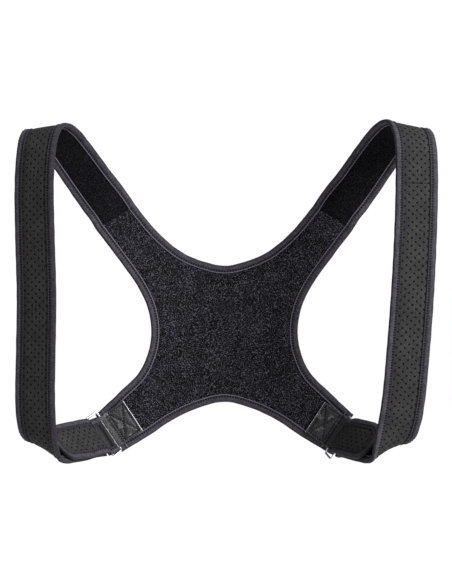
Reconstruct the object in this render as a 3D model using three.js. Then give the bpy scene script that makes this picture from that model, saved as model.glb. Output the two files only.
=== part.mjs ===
// Posture corrector: a padded back panel with four arms, two padded shoulder
// straps, two nickel rings and the leatherette tabs that hold them. It has the
// form that it takes when worn. Millimetres, +Z up; the wearer faces -Y, so the
// lined inner face of the panel looks to -Y; left is -X.
// The origin is the centre of the panel's inner face.
import * as THREE from 'three';

// Size of the worn loop
const strapSpan = 392;          // between the centre lines of the two front straps
const loopHeight = 346;         // underarm bend to shoulder crest
const loopDepth = 120;          // back panel to front straps
const backRadius = 450;         // the rounded back that the panel lies on

// Back panel
const waistWidth = 159;         // narrowest width, between the armhole edges
const panelHeight = 150;        // neck edge to bottom edge on the centre line
const armWidth = 50;            // width of each arm of the panel, binding included
const upperArm = { out: 118.6, up: 127.4, slope: 33.8 };   // centre of the upper arm's end
const lowerArm = { out: 125.2, up: -107.5, slope: 55.5 };  // centre of the lower arm's end

// Padded cloth and its folded binding tape
const padding = 3.0;            // thickness of the padded cloth
const pressedPadding = 2.2;     // thickness where the binding squeezes it
const bindingWidth = 9;         // tape seen on each face
const tape = 0.7;               // thickness of the tape
const tapeNose = 0.3;           // how far the folded tape bulges beyond its thickness
const gap = 0.3;                // clearance between touching pieces
const squeeze = 3;              // slope between pressed and full padding
const seamCut = 0.6;            // tape left off where panel and strap meet

// Straps
const strapWidth = 45;          // binding included
const tailLength = { left: 62, right: 50 };   // strap end that returns from the ring, on the strap
const tailCorner = 15;          // corner radius of the strap's rounded end
const tailStep = 6;             // between two layers of strap, centre to centre

// Ring and its tab
const wire = 2.6;               // diameter of the ring's wire
const ringSlack = 0.8;          // room beside the strap at each end of the ring
const ringReach = 18.5;         // outer width of the ring, tab bar to strap bar
const ringCorner = 2.4;         // corner radius of the ring's centre line
const ringSwing = { left: 14, right: 50 };  // degrees, how far each ring is pulled forward
const ringShift = { left: 4, right: 1.5 };  // how far it has slid along its tab, to the armhole
const tabShift = { left: 2, right: 0 };     // how far the tab is sewn to the armhole's side
const foldSlack = 1.5;          // the padded strap stands off the wire in its fold
const leaf = 1;                 // leatherette thickness
const tabMargin = 5;            // arm left free on each side of the tab
const tabLength = 31;           // from the ring's bar to the tab's raw edges

// What follows from the sizes
const halfSpan = strapSpan / 2;
const halfWaist = waistWidth / 2;
const halfHeight = panelHeight / 2;
const edgeWidth = gap + tape + tapeNose;                 // binding beyond the padding's edge
const tapeInner = pressedPadding / 2 + gap;              // inside of the tape, from mid-cloth
const tapeOuter = tapeInner + tape;                      // outside of the tape, from mid-cloth
const foldRadius = wire / 2 + gap + foldSlack + tapeOuter;  // mid-cloth round the ring's bar
const ringMid = ringReach - wire;                        // between the centres of the two bars
const tabWidth = armWidth - 2 * tabMargin;
const barHeight = tapeOuter + gap + leaf + gap + wire / 2;  // ring bar above mid-cloth

// Half outline of the panel, mirrored for the other half. Each row is a point:
// out (share of halfWaist) and up (share of halfHeight).
const neckCurve = [[0.31, 1.05], [0.61, 1.19], [0.945, 1.49]];
const sideCurve = [[1.41, 1.055], [1.18, 0.70], [1.043, 0.38], [0.995, 0.06],
  [1.026, -0.235], [1.163, -0.57], [1.41, -0.837]];
const bottomCurve = [[1.053, -1.473], [0.725, -1.245], [0.367, -1.072]];

// Route of each strap from the upper arm to the ring, one row a station: out
// (share of halfSpan), forward (share of loopDepth), up (share of loopHeight),
// then turn and tip in degrees of the line from armhole edge to neck edge. Past
// the underarm bend the stations move with the ring, wherever it is.
const strapRoute = {
  left: [
    [0.731, 0.20, 0.470, 5, 35],     // arm behind the shoulder
    [0.819, 0.31, 0.542, 9, 34],
    [0.888, 0.45, 0.597, 11, 25],
    [0.934, 0.59, 0.624, 14, 14],
    [0.962, 0.74, 0.627, 17, 6],     // shoulder crest
    [0.980, 0.88, 0.597, 20, 3],
    [0.990, 0.96, 0.545, 22, 0],
    [0.998, 0.985, 0.450, 22, -1],   // front strap
    [0.993, 1.00, 0.300, 21, -1],
    [0.984, 1.01, 0.120, 21, 0],
    [0.988, 1.01, -0.050, 21, 1],
    [0.993, 0.985, -0.180, 20, 1],
    [0.989, 0.955, -0.253, 20, -7],
    [0.978, 0.90, -0.303, 18, -20],
    [0.955, 0.80, -0.336, 10, -30],  // underarm bend
    [0.918, 0.69, -0.340, 2, -37],
    [0.868, 0.57, -0.336, -3, -42],
    [0.812, 0.445, -0.332, -8, -47],
    [0.762, 0.345, -0.327, -13, -51],
    [0.712, 0.207, -0.328],           // ring
  ],
  right: [
    [0.728, 0.20, 0.465, 5, 36],
    [0.819, 0.31, 0.541, 6, 37],
    [0.892, 0.45, 0.599, 8, 29],
    [0.944, 0.59, 0.628, 10, 19],
    [0.980, 0.74, 0.633, 12, 10],
    [1.000, 0.88, 0.605, 12, 5],
    [1.008, 0.96, 0.555, 12, 1],
    [1.009, 0.985, 0.450, 9, -1],
    [1.001, 1.00, 0.300, 8, 0],
    [0.984, 1.01, 0.120, 6, 0],
    [0.961, 1.01, -0.050, 5, 0],
    [0.941, 0.985, -0.180, 5, 0],
    [0.922, 0.955, -0.253, 6, -6],
    [0.898, 0.90, -0.304, 8, -17],
    [0.866, 0.80, -0.338, 8, -28],
    [0.824, 0.69, -0.337, 2, -39],
    [0.783, 0.60, -0.331, -3, -45],
    [0.736, 0.50, -0.326, -8, -50],
    [0.702, 0.40, -0.324, -13, -54],
    [0.682, 0.280, -0.330],           // ring
  ],
};
const bendStation = 14;         // the underarm bend's row in each route
const stepsPerStation = 2;      // sections between two stations of a strap
const skewedSteps = 6;          // sections over which the strap turns into line with the ring
const foldSteps = 6;            // sections round the ring's bar
const tailSteps = 5;
const tailSpare = 0.5;          // part of a step left out just past the fold
const cornerSteps = 3;
const tailApproach = 14;        // how soon the tail settles on the strap past the fold
const shoulderLength = 190;     // from the seam to where the strap has its own width
const neckSteps = 10;           // rulings to half the neck edge
const bottomSteps = 7;          // rulings to half the bottom edge, before the arm's end
const centreSteps = 4;
const fineSteps = 40;           // samples that measure the armhole edge
const curveDivisions = 400;     // and those that even out a curve's length
const facingWaist = [0.46, 0.66];  // shares of the armhole edge that face the centre line
const wireSides = 8;

const radians = THREE.MathUtils.degToRad;
const mix = THREE.MathUtils.lerp;

// Surface of the panel: the points of a big cylinder behind the wearer's back.
// at(x, z, h) is the point at (x, z), raised by h from mid-cloth to the inner side.
const panelSurface = {
  normal(x) {
    return new THREE.Vector3(-x, -Math.sqrt(backRadius ** 2 - x * x), 0).normalize();
  },
  at(x, z, h) {
    const depth = Math.sqrt(backRadius ** 2 - x * x) - backRadius + padding / 2;
    return new THREE.Vector3(x, depth, z).addScaledVector(this.normal(x), h);
  },
};

// Length along a polyline at each of its points.
function lengths(points) {
  const sums = [0];
  for (let i = 1; i < points.length; i++) {
    sums.push(sums[i - 1] + points[i].distanceTo(points[i - 1]));
  }
  return sums;
}

// A flat curve through hand-chosen points, sampled at the given shares of its length.
function curvePoints(points, shares) {
  const curve = new THREE.CatmullRomCurve3(points.map((p) => new THREE.Vector3(p.x, p.y, 0)), false,
    'centripetal');
  curve.arcLengthDivisions = curveDivisions;
  return shares.map((share) => {
    const p = curve.getPointAt(share);
    return new THREE.Vector2(p.x, p.y);
  });
}

// Corners and edge directions of an arm's end, on the left half of the panel.
function armEnd(arm, sense) {
  const across = new THREE.Vector2(Math.cos(radians(arm.slope)), sense * Math.sin(radians(arm.slope)));
  const centre = new THREE.Vector2(-arm.out, arm.up);
  const half = armWidth / 2 - edgeWidth;
  return {
    centre,
    across,
    hole: centre.clone().addScaledVector(across, -half),   // corner on the armhole edge
    body: centre.clone().addScaledVector(across, half),    // corner on the neck or bottom edge
    outward: new THREE.Vector2(-sense * across.y, sense * across.x),
  };
}
const upperEnd = armEnd(upperArm, 1);
const lowerEnd = armEnd(lowerArm, -1);

// Even shares from 0 to 1.
function evenShares(count) {
  return Array.from({ length: count + 1 }, (_, i) => i / count);
}
const pressed = bindingWidth + gap;                     // padding is pressed up to here
const relaxed = pressed + squeeze;                      // and full from here on

// Shares across a ruling: its ends, the squeeze beside each, and the middle.
function acrossShares(length) {
  return [0, pressed / length, relaxed / length, 0.5, 1 - relaxed / length, 1 - pressed / length, 1];
}

// Grid of the left half: rulings from the armhole edge to the neck edge, the
// centre line and the bottom edge in turn.
function panelRulings() {
  const outline = (rows) => rows.map(([out, up]) => new THREE.Vector2(-out * halfWaist, up * halfHeight));
  const top = new THREE.Vector2(0, halfHeight - edgeWidth);
  const foot = new THREE.Vector2(0, -halfHeight + edgeWidth);
  const neck = [upperEnd.body, ...outline(neckCurve).reverse(), top];
  const bottom = [foot, ...outline(bottomCurve).reverse(), lowerEnd.body];
  const side = [upperEnd.hole, ...outline(sideCurve), lowerEnd.hole];
  const mirrored = (p) => new THREE.Vector2(-p.x, p.y);
  const middle = 0.5;           // the centre line's share of a whole edge
  const neckShares = evenShares(neckSteps).map((s) => s * middle);
  const wholeNeck = [...neck, ...neck.slice(0, -1).reverse().map(mirrored)];
  const wholeBottom = [...bottom.slice(1).reverse().map(mirrored), ...bottom];
  const endShare = 1 - pressed / (2 * lengths(bottom).at(-1));
  const relaxShare = 1 - relaxed / (2 * lengths(bottom).at(-1));
  const bottomShares = [...evenShares(bottomSteps).map((s) => mix(middle, relaxShare, s)), endShare, 1];
  const centreLength = top.distanceTo(foot);
  const centreShares = [pressed / centreLength, relaxed / centreLength,
    ...evenShares(centreSteps).slice(1, -1), 1 - relaxed / centreLength, 1 - pressed / centreLength];
  const inner = [
    ...curvePoints(wholeNeck, neckShares),
    ...centreShares.map((s) => top.clone().lerp(foot, s)),
    ...curvePoints(wholeBottom, bottomShares),
  ];
  const neckCount = neckShares.length - 1;
  const centreCount = centreShares.length + 1;
  const sideLength = lengths(curvePoints(side, evenShares(fineSteps))).at(-1);
  const sideShares = inner.map((_, i) => {
    if (i <= neckCount) return facingWaist[0] * i / neckCount;
    if (i <= neckCount + centreCount) return mix(...facingWaist, (i - neckCount) / centreCount);
    const last = inner.length - 1;
    if (i === last) return 1;
    if (i === last - 1) return 1 - pressed / sideLength;
    const count = last - 2 - neckCount - centreCount;
    return mix(facingWaist[1], 1 - relaxed / sideLength, (i - neckCount - centreCount) / count);
  });
  return { inner, side: curvePoints(side, sideShares), neckCount, centreCount };
}

// Distance from a point to the nearest of some polylines.
function edgeDistance(point, edges) {
  let best = Infinity;
  const line = new THREE.Line3();
  const flat = new THREE.Vector3(point.x, point.y, 0);
  const foot = new THREE.Vector3();
  for (const edge of edges) {
    for (let i = 1; i < edge.length; i++) {
      line.start.set(edge[i - 1].x, edge[i - 1].y, 0);
      line.end.set(edge[i].x, edge[i].y, 0);
      best = Math.min(best, line.closestPointToPoint(flat, true, foot).distanceTo(flat));
    }
  }
  return best;
}

// Half the padding's thickness at some distance from a bound edge.
function halfThickness(distance) {
  const full = THREE.MathUtils.clamp((distance - pressed) / squeeze, 0, 1);
  return mix(pressedPadding, padding, full) / 2;
}

// A closed solid from flat points, the triangles between them, and a surface
// that gives each point's place at a height above or below mid-cloth.
function cloth(points, triangles, place, thicknessAt) {
  const count = points.length;
  const front = points.map((p) => place(p, thicknessAt(p)));
  const back = points.map((p) => place(p, -thicknessAt(p)));
  const index = [];
  const edges = new Map();
  for (const [a, b, c] of triangles) {
    index.push(a, b, c, a + count, c + count, b + count);
    for (const [p, q] of [[a, b], [b, c], [c, a]]) {
      if (!edges.delete(`${q}_${p}`)) edges.set(`${p}_${q}`, [p, q]);
    }
  }
  for (const [p, q] of edges.values()) index.push(q, p, p + count, q, p + count, q + count);
  return solid([...front, ...back], index);
}

// A buffer geometry from points and triangle corners, its faces turned outward.
function solid(points, index) {
  const geometry = new THREE.BufferGeometry().setFromPoints(points);
  let volume = 0;
  for (let i = 0; i < index.length; i += 3) {
    const [a, b, c] = [points[index[i]], points[index[i + 1]], points[index[i + 2]]];
    volume += a.dot(b.clone().cross(c));
  }
  geometry.setIndex(volume > 0 ? index : index.slice().reverse());
  geometry.computeVertexNormals();
  return geometry;
}

// Binding tape folded over an edge. The path runs along the edge in the
// cloth's own flat coordinates, with the cloth on the side that inward names
// (1 left of the path, -1 right of it).
function binding(path, inward, place) {
  const section = [
    [bindingWidth, tapeOuter], [-gap, tapeOuter], [-edgeWidth, 0], [-gap, -tapeOuter],
    [bindingWidth, -tapeOuter], [bindingWidth, -tapeInner], [-gap, -tapeInner],
    [-gap, tapeInner], [bindingWidth, tapeInner],
  ];
  const cap = [[0, 1, 8], [1, 7, 8], [1, 2, 7], [2, 6, 7], [2, 3, 6], [3, 5, 6], [3, 4, 5]];
  const points = [];
  path.forEach((p, i) => {
    const before = path[Math.max(i - 1, 0)];
    const after = path[Math.min(i + 1, path.length - 1)];
    const first = p.clone().sub(before).normalize();
    const second = after.clone().sub(p).normalize();
    const along = first.clone().add(second).normalize();
    const spread = Math.min(1 / Math.max(along.dot(second.lengthSq() ? second : first), 0.5), 1.4);
    const side = new THREE.Vector2(-along.y, along.x).multiplyScalar(inward * spread);
    for (const [depth, height] of section) {
      points.push(place(p.clone().addScaledVector(side, depth), height));
    }
  });
  const size = section.length;
  const index = [];
  for (let i = 0; i + 1 < path.length; i++) {
    for (let j = 0; j < size; j++) {
      const next = (j + 1) % size;
      const [a, b] = [i * size + j, i * size + next];
      if (section[j][0] > section[next][0]) index.push(a, b, a + size, b, b + size, a + size);
      else index.push(a, b, b + size, a, b + size, a + size);
    }
  }
  const last = (path.length - 1) * size;
  for (const [a, b, c] of cap) index.push(a, c, b, last + a, last + b, last + c);
  return solid(points, index);
}

// A path with a length cut off its start and its end.
function trimmed(path, startCut, endCut) {
  const sums = lengths(path);
  const total = sums.at(-1);
  const pointAt = (s) => {
    const i = Math.max(1, sums.findIndex((sum) => sum >= s));
    return path[i - 1].clone().lerp(path[i], (s - sums[i - 1]) / (sums[i] - sums[i - 1]));
  };
  const kept = path.filter((_, i) => sums[i] > startCut + 1 && sums[i] < total - endCut - 1);
  return [pointAt(startCut), ...kept, pointAt(total - endCut)];
}

const materials = {
  lining: () => new THREE.MeshStandardMaterial({ color: 0x1d1c21, roughness: 0.95, metalness: 0 }),
  strap: () => new THREE.MeshStandardMaterial({ color: 0x35343a, roughness: 0.85, metalness: 0 }),
  binding: () => new THREE.MeshStandardMaterial({ color: 0x4a474f, roughness: 0.8, metalness: 0 }),
  leatherette: () => new THREE.MeshStandardMaterial({ color: 0x2b2a30, roughness: 0.45, metalness: 0 }),
  nickel: () => new THREE.MeshStandardMaterial({ color: 0xc9c9cc, roughness: 0.2, metalness: 1 }),
};

function part(name, geometry, material) {
  const mesh = new THREE.Mesh(geometry, material);
  mesh.name = name;
  return mesh;
}

// The back panel and the six lengths of binding on its edges
const rulings = panelRulings();
const mirror = (p) => new THREE.Vector2(-p.x, p.y);
const placeOnPanel = (p, h) => panelSurface.at(p.x, p.y, h);
const neckHalf = rulings.inner.slice(0, rulings.neckCount + 1);
const bottomHalf = rulings.inner.slice(rulings.neckCount + rulings.centreCount);
const neckEdge = [...neckHalf, ...neckHalf.slice(0, -1).reverse().map(mirror)];
const bottomEdge = [...bottomHalf.slice(1).reverse(), ...bottomHalf.map(mirror)];
const endEdge = acrossShares(lowerEnd.hole.distanceTo(lowerEnd.body))
  .map((share) => lowerEnd.hole.clone().lerp(lowerEnd.body, share));

function panelGeometry() {
  const { side } = rulings;
  const bound = [neckEdge, bottomEdge, side, side.map(mirror), endEdge, endEdge.map(mirror)];
  const points = [];
  const triangles = [];
  const seen = new Map();
  const place = (p) => {
    const key = `${p.x.toFixed(4)}_${p.y.toFixed(4)}`;
    if (!seen.has(key)) {
      seen.set(key, points.length);
      points.push(p);
    }
    return seen.get(key);
  };
  for (const turned of [false, true]) {
    const rows = side.map((start, i) => {
      const end = rulings.inner[i];
      const ruling = acrossShares(start.distanceTo(end)).map((s) => start.clone().lerp(end, s));
      return ruling.map((p) => place(turned ? mirror(p) : p));
    });
    for (let i = 0; i + 1 < rows.length; i++) {
      for (let j = 0; j + 1 < rows[i].length; j++) {
        const [a, b, c, d] = [rows[i][j], rows[i][j + 1], rows[i + 1][j + 1], rows[i + 1][j]];
        for (const [p, q, r] of [[a, b, c], [a, c, d]]) {
          if (p !== q && q !== r && r !== p) triangles.push(turned ? [p, r, q] : [p, q, r]);
        }
      }
    }
  }
  return cloth(points, triangles, placeOnPanel, (p) => halfThickness(edgeDistance(p, bound)));
}

// Ring and tab place: a frame at the lower arm's end. Along runs to the ring, width
// across the arm from armhole edge to bottom edge, and inward to the wearer. The
// tab is flat, and its corners rest on the curved arm.
function armFrame(side) {
  const sign = side === 'left' ? 1 : -1;
  const at = (p) => panelSurface.at(sign * p.x, p.y, 0);
  const middle = lowerEnd.centre.clone().addScaledVector(lowerEnd.across, -tabShift[side]);
  const origin = at(middle);
  const root = at(middle.clone().addScaledVector(lowerEnd.outward, -tabLength));
  const along = origin.clone().sub(root).normalize();
  const width = at(lowerEnd.body).sub(at(lowerEnd.hole));
  width.addScaledVector(along, -width.dot(along)).normalize();
  const inward = new THREE.Vector3().crossVectors(along, width);
  if (inward.y > 0) inward.negate();
  const rises = [];
  for (const reach of [0, -tabLength]) {
    for (const half of [-tabWidth / 2, tabWidth / 2]) {
      const corner = middle.clone().addScaledVector(lowerEnd.outward, reach)
        .addScaledVector(lowerEnd.across, half);
      rises.push(at(corner).sub(origin).dot(inward));
    }
  }
  origin.addScaledVector(inward, Math.max(...rises));
  return { origin, along, width, inward };
}

// Centres of the ring's two bars, and the ring's own directions.
function ringFrame(side) {
  const arm = armFrame(side);
  const swing = radians(ringSwing[side]);
  const turned = (from, towards, angle) => from.clone().multiplyScalar(Math.cos(angle))
    .addScaledVector(towards, Math.sin(angle));
  const reach = turned(arm.along, arm.inward, swing);
  const face = turned(arm.inward, arm.along, -swing);
  const tabFold = arm.origin.clone().addScaledVector(arm.inward, barHeight);
  const tabBar = tabFold.clone().addScaledVector(arm.width, tabShift[side] - ringShift[side]);
  const strapBar = tabBar.clone().addScaledVector(reach, ringMid);
  return { tabFold, tabBar, strapBar, reach, face, width: arm.width };
}

// The seam where a strap starts at the end of its upper arm.
function seamFrame(side) {
  const sign = side === 'left' ? 1 : -1;
  const flip = (p) => new THREE.Vector2(sign * p.x, p.y);
  const centre = flip(upperEnd.centre);
  const origin = panelSurface.at(centre.x, centre.y, 0);
  const across = flip(upperEnd.across);
  const width = panelSurface.at(centre.x + across.x, centre.y + across.y, 0).sub(origin).normalize();
  const inward = panelSurface.normal(centre.x);
  const along = new THREE.Vector3().crossVectors(width, inward);
  if (along.z < 0) along.negate();
  return { origin, along, width };
}

// Frames along a strap: centre c, width direction a (armhole edge to neck edge),
// normal n to the outer, perforated face, half width w and length s from the seam.
function strapFrames(side) {
  const sign = side === 'left' ? -1 : 1;
  const seam = seamFrame(side);
  const ring = ringFrame(side);
  const start = seam.origin.clone().addScaledVector(seam.along, gap);
  const finish = ring.strapBar.clone().addScaledVector(ring.face, -foldRadius);
  const lead = seam.origin.clone().addScaledVector(seam.along, strapWidth / 4);
  const centres = [start, lead];
  const widths = [seam.width, seam.width];
  const stations = strapRoute[side].map(([out, forward, up]) => (
    new THREE.Vector3(sign * out * halfSpan, -forward * loopDepth, up * loopHeight)));
  const last = stations.length - 1;
  const ringMove = finish.clone().sub(stations[last]);
  stations.forEach((p, i) => {
    centres.push(p.addScaledVector(ringMove, THREE.MathUtils.smoothstep(i, bendStation, last)));
  });
  for (const [, , , turn, tip] of strapRoute[side].slice(0, last)) {
    widths.push(new THREE.Vector3(-sign * Math.cos(radians(turn)) * Math.cos(radians(tip)),
      -Math.sin(radians(turn)) * Math.cos(radians(tip)), Math.sin(radians(tip))));
  }
  widths.push(ring.width);
  const curve = new THREE.CatmullRomCurve3(centres, false, 'centripetal');
  const turning = new THREE.CatmullRomCurve3(widths, false, 'centripetal');
  const steps = (centres.length - 1) * stepsPerStation;
  const frames = [];
  for (let i = 0; i <= steps; i++) {
    const tangent = i === steps ? ring.reach.clone().negate() : curve.getTangent(i / steps);
    if (i === 0) tangent.copy(seam.along);
    const a = turning.getPoint(i / steps);
    const square = Math.min((steps - i) / skewedSteps, 1);
    a.addScaledVector(tangent, -a.dot(tangent) * square).normalize();
    const n = new THREE.Vector3().crossVectors(tangent, a).multiplyScalar(-sign).normalize();
    frames.push({ c: curve.getPoint(i / steps), a, n });
  }
  const main = frames.length - 1;
  const outer = frames[main].n.clone();
  for (let i = 1; i <= foldSteps; i++) {
    const turn = Math.PI * i / foldSteps;
    const radial = outer.clone().multiplyScalar(Math.cos(turn))
      .addScaledVector(ring.reach, -Math.sin(turn));
    frames.push({ c: ring.strapBar.clone().addScaledVector(radial, foldRadius), a: ring.width, n: radial });
  }
  return { frames: withLengths(frames), main };
}

function withLengths(frames) {
  let s = 0;
  frames.forEach((frame, i) => {
    if (i) s += frame.c.distanceTo(frames[i - 1].c);
    frame.s = s;
  });
  return frames;
}

// The frame at length s: straight lines between the frames on either side.
function frameAt(frames, s) {
  const next = Math.min(Math.max(frames.findIndex((frame) => frame.s >= s), 1), frames.length - 1);
  const [p, q] = [frames[next - 1], frames[next]];
  const share = (s - p.s) / (q.s - p.s);
  const between = (key) => p[key].clone().lerp(q[key], share);
  return { c: between('c'), a: between('a'), n: between('n'), s };
}

// The tail: from the fold back along the strap, on the strap's inner face.
function addTail(frames, main, length) {
  const foldEnd = frames.at(-1).s;
  const sections = [];
  const straight = length - tailCorner;
  for (let i = 1; i <= tailSteps; i++) {
    sections.push(straight * (i + tailSpare) / (tailSteps + tailSpare));
  }
  for (let i = 1; i <= cornerSteps; i++) {
    sections.push(straight + tailCorner * Math.sin(Math.PI / 2 * i / cornerSteps));
  }
  const mainFrames = frames.slice(0, main + 1);
  for (const run of sections) {
    const under = frameAt(mainFrames, mainFrames[main].s - run);
    const settle = Math.exp(-run / tailApproach);
    const lift = mix(tailStep, 2 * foldRadius, settle);
    const c = under.c.addScaledVector(under.n, -lift);
    frames.push({ c, a: under.a, n: under.n.negate(), s: foldEnd + run });
  }
  return frames;
}

// Width of a strap at length s: the arm's width at the seam, narrowing over the
// shoulder to the strap's own width, and rounded off at the end of the tail.
function halfWidth(s, total) {
  const narrowing = THREE.MathUtils.smoothstep(s, 0, shoulderLength);
  const full = mix(armWidth, strapWidth, narrowing) / 2 - edgeWidth;
  const beyond = s - (total - tailCorner);
  if (beyond <= 0) return full;
  return full - tailCorner + Math.sqrt(Math.max(tailCorner ** 2 - beyond ** 2, 0));
}

function strap(side) {
  const { frames, main } = strapFrames(side);
  addTail(frames, main, tailLength[side]);
  const total = frames.at(-1).s;
  const place = (p, h) => {
    const frame = frameAt(frames, Math.min(p.x, total));
    return frame.c.addScaledVector(frame.a, p.y).addScaledVector(frame.n, h);
  };
  const edge = (sense) => frames.map(({ s }) => new THREE.Vector2(s, sense * halfWidth(s, total)));
  const outline = [...edge(1), ...edge(-1).reverse()];
  const points = [];
  const triangles = [];
  const columns = 6;
  for (const { s } of frames) {
    const w = halfWidth(s, total);
    const inner = Math.max(w - pressed, w / 2);
    const full = Math.max(w - relaxed, w / 3);
    for (const v of [-w, -inner, -full, full, inner, w]) points.push(new THREE.Vector2(s, v));
  }
  for (let i = 0; i + 1 < frames.length; i++) {
    for (let j = 0; j + 1 < columns; j++) {
      const a = i * columns + j;
      triangles.push([a, a + 1, a + columns], [a + 1, a + columns + 1, a + columns]);
    }
  }
  const sideEdges = [edge(1), edge(-1), [outline[frames.length - 1], outline[frames.length]]];
  const thickness = (p) => halfThickness(edgeDistance(p, sideEdges));
  return {
    padded: cloth(points, triangles, place, thickness),
    bound: binding(outline, -1, place),
  };
}

// The ring: round wire along a rectangle with rounded corners.
function ringGeometry() {
  const length = strapWidth + 2 * ringSlack + wire;
  const shape = new THREE.Shape();
  const [w, l, r] = [ringMid / 2, length / 2, ringCorner];
  shape.moveTo(w, -l + r).lineTo(w, l - r).absarc(w - r, l - r, r, 0, Math.PI / 2);
  shape.lineTo(-w + r, l).absarc(-w + r, l - r, r, Math.PI / 2, Math.PI);
  shape.lineTo(-w, -l + r).absarc(-w + r, -l + r, r, Math.PI, Math.PI * 1.5);
  shape.lineTo(w - r, -l).absarc(w - r, -l + r, r, Math.PI * 1.5, Math.PI * 2);
  const corners = shape.getPoints(4).map((p) => new THREE.Vector3(p.x, p.y, 0));
  const path = corners.filter((p, i) => i === 0 || p.distanceTo(corners[i - 1]) > 0.01);
  if (path.at(-1).distanceTo(path[0]) < 0.01) path.pop();
  const sides = wireSides;
  const points = [];
  const index = [];
  path.forEach((p, i) => {
    const before = path[(i + path.length - 1) % path.length];
    const after = path[(i + 1) % path.length];
    const along = p.clone().sub(before).normalize().add(after.clone().sub(p).normalize()).normalize();
    const outward = new THREE.Vector3(along.y, -along.x, 0);
    for (let j = 0; j < sides; j++) {
      const turn = 2 * Math.PI * j / sides;
      points.push(p.clone().addScaledVector(outward, Math.cos(turn) * wire / 2)
        .add(new THREE.Vector3(0, 0, Math.sin(turn) * wire / 2)));
      const a = i * sides + j;
      const b = i * sides + (j + 1) % sides;
      const [c, d] = [(a + sides) % (path.length * sides), (b + sides) % (path.length * sides)];
      index.push(a, b, d, a, d, c);
    }
  });
  return solid(points, index);
}

// The tab: leatherette folded round the ring's bar, its two leaves lying on each
// other. x runs along the arm, y is the height above the bar's centre.
function tabGeometry() {
  const inside = wire / 2 + gap;
  const outside = inside + leaf;
  const upper = -outside + 2 * leaf + gap;      // top face of the upper leaf
  const [low, high] = [-outside, upper];
  const start = Math.PI - Math.asin((high - leaf / 2) / (inside + leaf / 2));
  const shape = new THREE.Shape();
  shape.moveTo(-tabLength, low).lineTo(0, low);
  shape.absarc(0, 0, outside, -Math.PI / 2, start, false);
  shape.lineTo(-outside - leaf, high).lineTo(-tabLength, high).lineTo(-tabLength, high - leaf);
  shape.lineTo(-outside, high - leaf);
  shape.absarc(0, 0, inside, start, -Math.PI / 2, true);
  shape.lineTo(-tabLength, low + leaf);
  const geometry = new THREE.ExtrudeGeometry(shape, {
    depth: tabWidth, bevelEnabled: false, curveSegments: 6,
  });
  return geometry.translate(0, 0, -tabWidth / 2);
}

// Turns a group so that its x, y and z run along three given directions.
function placed(mesh, x, y, z, origin) {
  const basis = new THREE.Matrix4().makeBasis(x, y, z);
  mesh.quaternion.setFromRotationMatrix(basis);
  mesh.position.copy(origin);
  return mesh;
}

const corrector = new THREE.Group();
corrector.add(part('back_panel', panelGeometry(), materials.lining()));
corrector.add(part('binding_neck', binding(trimmed(neckEdge, seamCut, seamCut), -1, placeOnPanel),
  materials.binding()));
corrector.add(part('binding_bottom', binding(trimmed(bottomEdge, pressed, pressed), 1, placeOnPanel),
  materials.binding()));
for (const side of ['left', 'right']) {
  const turned = side === 'right';
  const flip = (path) => (turned ? path.map(mirror) : path);
  const inward = turned ? -1 : 1;
  corrector.add(part(`binding_side_${side}`,
    binding(flip(trimmed(rulings.side, seamCut, pressed)), inward, placeOnPanel),
    materials.binding()));
  corrector.add(part(`binding_end_${side}`, binding(flip(endEdge), inward, placeOnPanel),
    materials.binding()));
  const { padded, bound } = strap(side);
  corrector.add(part(`shoulder_strap_${side}`, padded, materials.strap()));
  corrector.add(part(`binding_strap_${side}`, bound, materials.binding()));

  const ring = ringFrame(side);
  const arm = armFrame(side);
  const ringCentre = ring.tabBar.clone().lerp(ring.strapBar, 0.5);
  corrector.add(placed(part(`ring_${side}`, ringGeometry(), materials.nickel()),
    ring.reach, ring.width, new THREE.Vector3().crossVectors(ring.reach, ring.width), ringCentre));
  corrector.add(placed(part(`tab_${side}`, tabGeometry(), materials.leatherette()),
    arm.along, arm.inward, new THREE.Vector3().crossVectors(arm.along, arm.inward), ring.tabFold));
}

export default corrector;
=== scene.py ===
"""Looks of the posture corrector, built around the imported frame.

Lengths in this file are millimetres until a mesh is made; Blender gets metres.
The straps, the panel and their binding are worked out in flat cloth coordinates
and then carried to the place that the worn form gives them.
"""
import math

import bpy
import numpy as np
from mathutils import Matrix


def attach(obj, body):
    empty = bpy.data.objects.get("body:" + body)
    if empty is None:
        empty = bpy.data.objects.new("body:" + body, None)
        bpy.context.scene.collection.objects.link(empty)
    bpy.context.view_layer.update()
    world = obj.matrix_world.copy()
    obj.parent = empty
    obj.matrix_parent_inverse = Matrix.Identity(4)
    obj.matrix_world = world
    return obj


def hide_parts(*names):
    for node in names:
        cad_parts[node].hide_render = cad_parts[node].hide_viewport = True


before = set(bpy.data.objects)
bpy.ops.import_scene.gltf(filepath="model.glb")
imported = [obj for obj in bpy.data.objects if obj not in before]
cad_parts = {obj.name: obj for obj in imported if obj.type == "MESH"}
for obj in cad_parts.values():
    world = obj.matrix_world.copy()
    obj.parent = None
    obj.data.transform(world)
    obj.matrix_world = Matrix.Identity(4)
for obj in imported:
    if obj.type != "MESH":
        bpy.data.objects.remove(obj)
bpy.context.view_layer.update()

MM = 0.001

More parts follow.
